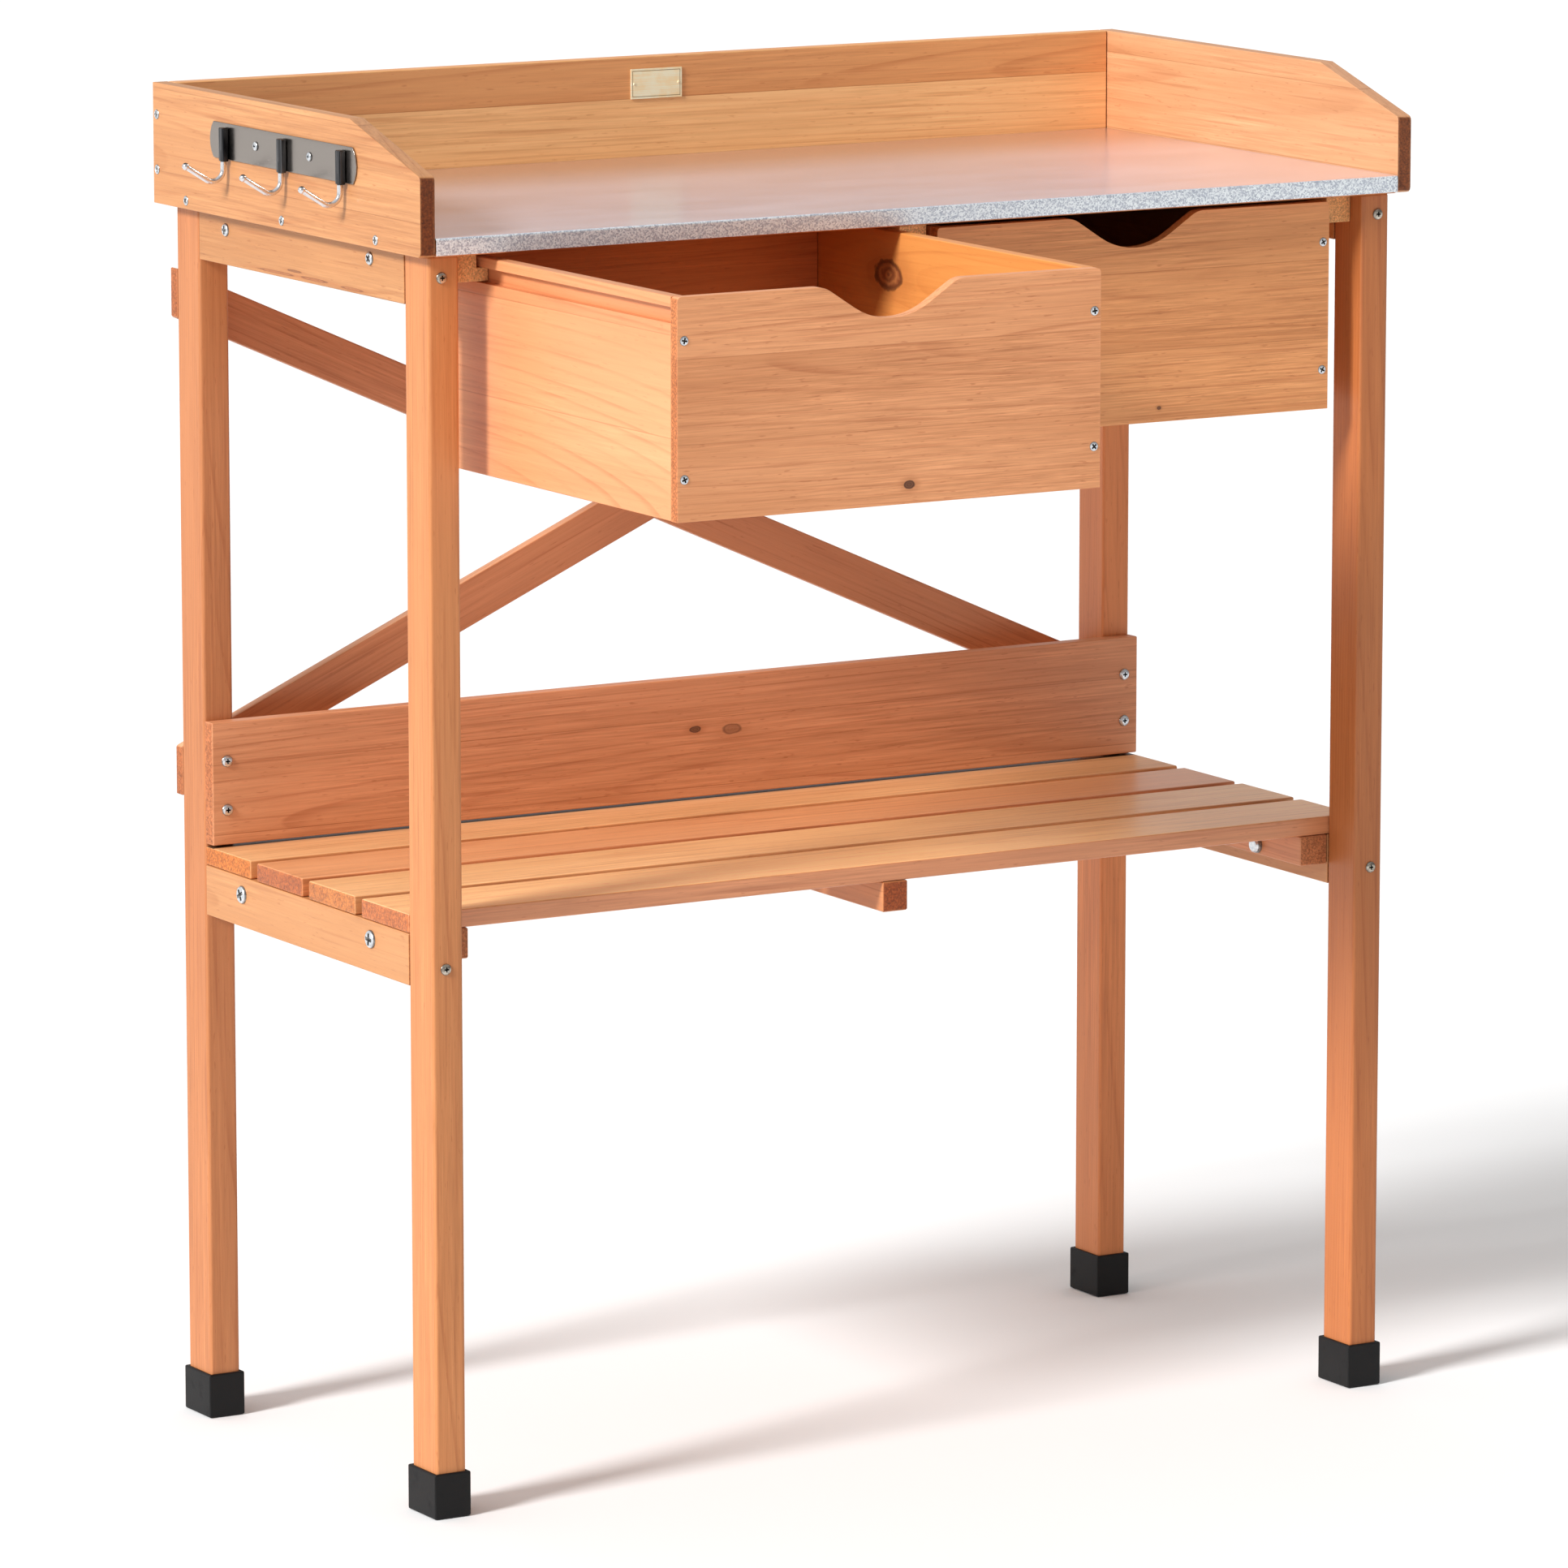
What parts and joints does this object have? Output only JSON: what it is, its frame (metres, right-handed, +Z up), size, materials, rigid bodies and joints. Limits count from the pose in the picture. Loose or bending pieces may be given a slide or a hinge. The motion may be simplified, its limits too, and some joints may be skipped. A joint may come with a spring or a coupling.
{
  "type": "potting bench",
  "caption": "Wooden potting bench with a metal-topped tray worktop, pull-out drawers with finger cut-outs, slatted lower shelf, crossed back brace and side coat hooks",
  "frame": {"origin": "middle of the bounding box at the floor, with the left drawer standing open", "axes": "+Z up, -Y towards the person at the drawers, +X to that person's right"},
  "size_m": [0.8611, 0.6558, 0.985],
  "materials": {
    "fir_frame": "planed softwood with a warm honey-brown stain",
    "fir_board": "planed softwood boards with a warm honey-brown stain",
    "fir_drawer": "planed softwood, slightly paler stain",
    "fir_shelf": "planed softwood, deeper red-brown stain",
    "plywood": "thin plywood, unstained",
    "galvanised_steel": "smooth galvanised sheet with faint spangle",
    "rail_steel": "satin grey steel strip",
    "hook_chrome": "bright plated steel wire",
    "screw_zinc": "bright zinc plating",
    "rubber": "matt black rubber",
    "brass": "plain satin plate, no lettering"
  },
  "bodies": {
    "frame": {"leg_front_left": "fir_frame", "leg_front_right": "fir_frame", "leg_rear_left": "fir_frame", "leg_rear_right": "fir_frame", "runner_left": "fir_frame", "runner_right": "fir_frame", "runner_centre": "fir_frame", "back_board": "fir_board", "side_board_left": "fir_board", "side_board_right": "fir_board", "worktop_panel": "fir_board", "apron_left": "fir_board", "apron_right": "fir_board", "shelf_rail_left": "fir_board", "shelf_rail_right": "fir_board", "shelf_cleat_left": "fir_board", "shelf_cleat_middle": "fir_board", "shelf_cleat_right": "fir_board", "shelf_back_board": "fir_shelf", "brace_falling": "fir_shelf", "brace_rising": "fir_shelf", "shelf_slat_1": "fir_shelf", "shelf_slat_2": "fir_shelf", "shelf_slat_3": "fir_shelf", "shelf_slat_4": "fir_shelf", "worktop_sheet": "galvanised_steel", "hook_rail": "rail_steel", "hook_front": "hook_chrome", "hook_middle": "hook_chrome", "hook_rear": "hook_chrome", "leg_screw_left_upper": "screw_zinc", "leg_screw_left_lower": "screw_zinc", "leg_screw_right_upper": "screw_zinc", "leg_screw_right_lower": "screw_zinc", "shelf_screw_left_upper": "screw_zinc", "shelf_screw_left_lower": "screw_zinc", "shelf_screw_right_upper": "screw_zinc", "shelf_screw_right_lower": "screw_zinc", "hook_screw_front": "screw_zinc", "hook_screw_rear": "screw_zinc", "foot_cap_front_left": "rubber", "foot_cap_front_right": "rubber", "foot_cap_rear_left": "rubber", "foot_cap_rear_right": "rubber", "name_plate": "brass"},
    "left_drawer": {"drawer_left_front": "fir_drawer", "drawer_left_side_left": "fir_drawer", "drawer_left_side_right": "fir_drawer", "drawer_left_back": "fir_drawer", "drawer_left_bottom": "plywood"},
    "right_drawer": {"drawer_right_front": "fir_drawer", "drawer_right_side_left": "fir_drawer", "drawer_right_side_right": "fir_drawer", "drawer_right_back": "fir_drawer", "drawer_right_bottom": "plywood"}
  },
  "joints": [
    {"name": "left_drawer_slide", "type": "slide", "parent": "frame", "child": "left_drawer", "axis": [0, -1, 0], "range_m": [-0.264, 0.036]},
    {"name": "right_drawer_slide", "type": "slide", "parent": "frame", "child": "right_drawer", "axis": [0, -1, 0], "range_m": [0, 0.3]}
  ]
}
